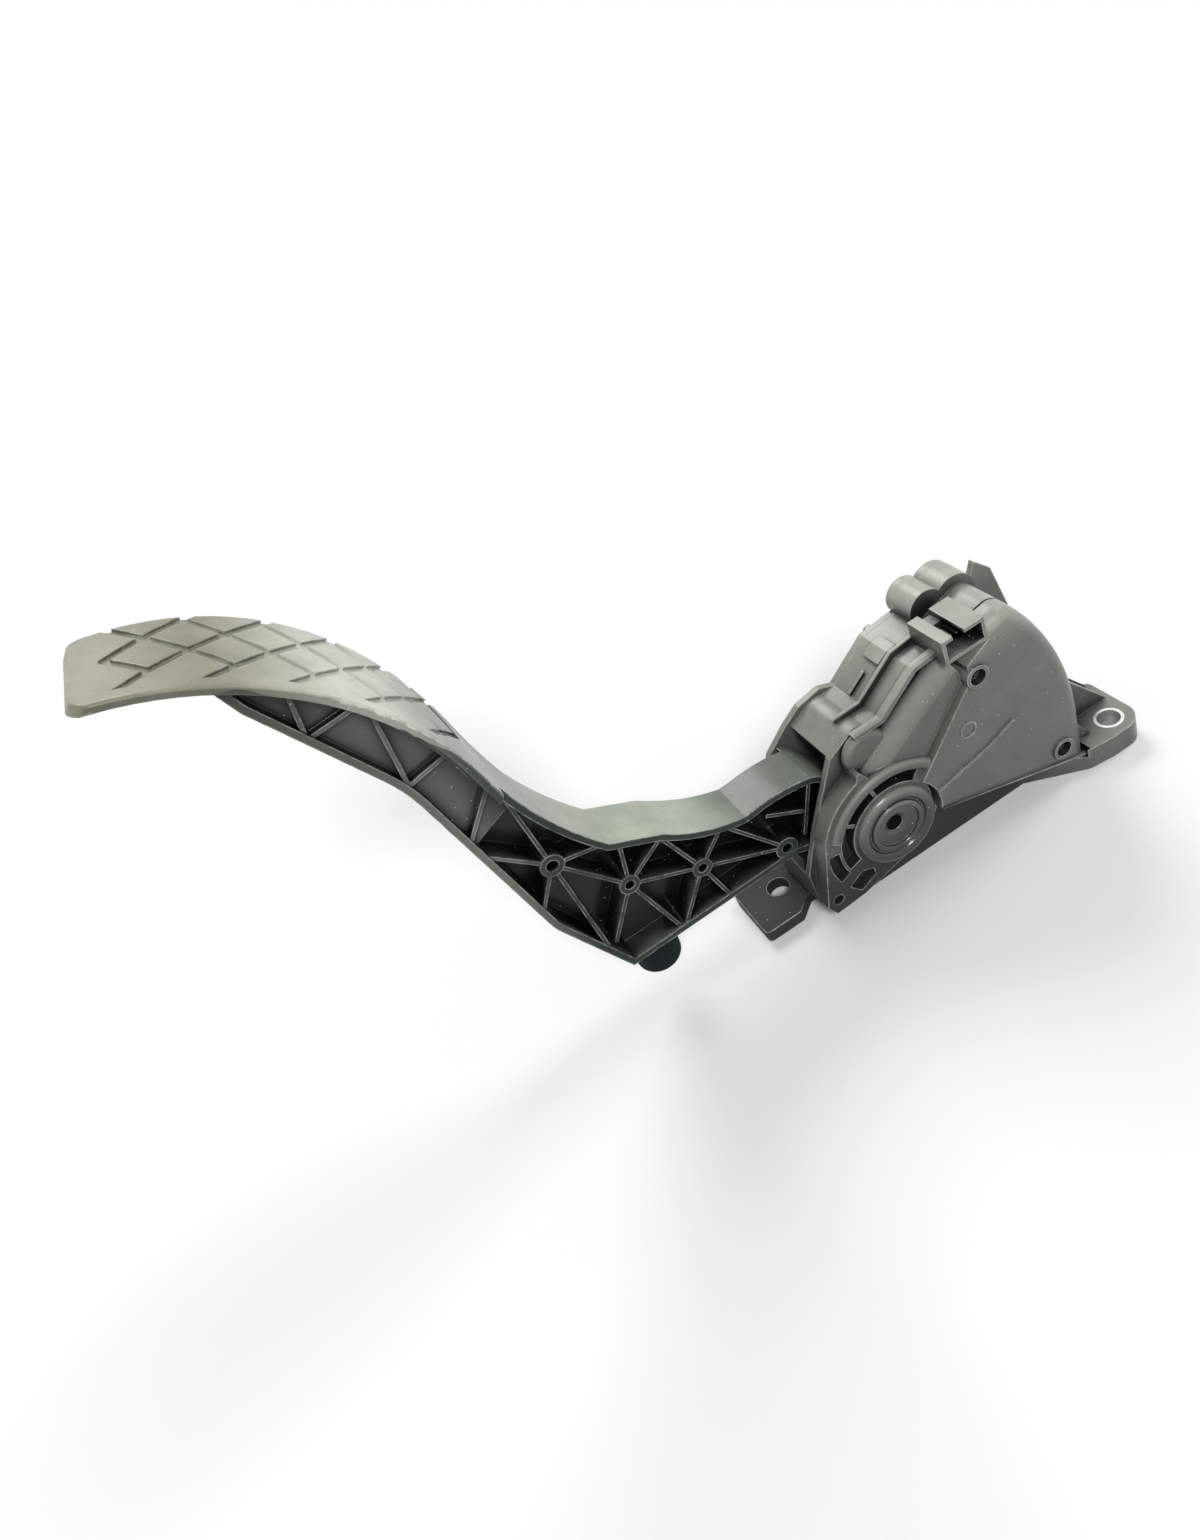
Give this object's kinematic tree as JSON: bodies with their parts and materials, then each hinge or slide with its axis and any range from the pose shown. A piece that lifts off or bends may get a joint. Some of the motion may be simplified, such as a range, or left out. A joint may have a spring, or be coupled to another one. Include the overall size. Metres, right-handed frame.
{
  "type": "accelerator pedal",
  "caption": "Sprung accelerator pedal module: treaded curved pad on a ribbed arm, hinged in a plastic housing with sensor cover, connector and mounting ears.",
  "frame": {"origin": "on the flat mounting face, straight below the pedal's pivot and midway across the arm", "axes": "+Z out of the mounting face, +X from the pad towards the upper mounting ear, +Y along the pivot away from the sensor cover"},
  "size_m": [0.3043, 0.066, 0.2307],
  "materials": {
    "arm_plastic": "fine moulded grain, satin",
    "housing_plastic": "fine moulded grain, satin",
    "cover_plastic": "smooth satin",
    "plug_plastic": "smooth semi-gloss",
    "inner_plastic": "moulded",
    "bush_plastic": "moulded",
    "bumper_rubber": "matt",
    "seal_rubber": "matt",
    "friction_lining": "matt",
    "screw_steel": "dark zinc plated",
    "bushing_steel": "bright turned",
    "spring_steel": "drawn wire",
    "target_metal": "plain sheet",
    "board_laminate": "lacquered laminate",
    "chip_plastic": "moulded",
    "terminal_brass": "plated"
  },
  "bodies": {
    "housing": {"housing_body": "housing_plastic", "sensor_cover": "cover_plastic", "cover_gasket": "seal_rubber", "cover_screws": "screw_steel", "far_cover": "housing_plastic", "far_cover_screws": "screw_steel", "near_pivot_plug": "plug_plastic", "far_pivot_plug": "plug_plastic", "mounting_bushings": "bushing_steel", "upper_spring_seat": "inner_plastic", "return_spring_outer": "spring_steel", "return_spring_inner": "spring_steel", "rest_stop_pad": "seal_rubber", "friction_pad": "friction_lining", "circuit_board": "board_laminate", "sensor_chips": "chip_plastic", "connector_terminals": "terminal_brass"},
    "pedal": {"pedal_arm": "arm_plastic", "hub_bushes": "bush_plastic", "stop_bumper": "bumper_rubber", "spring_cup": "inner_plastic", "sensor_target": "target_metal"}
  },
  "joints": [
    {"name": "pedal_pivot", "type": "hinge", "parent": "housing", "child": "pedal", "pos_m": [0, 0, 0.032], "axis": [0, -1, 0], "range_deg": [0, 10], "stiffness_Nm_per_rad": 17, "springref_deg": -10.31, "deforming": ["return_spring_outer", "return_spring_inner"]}
  ]
}
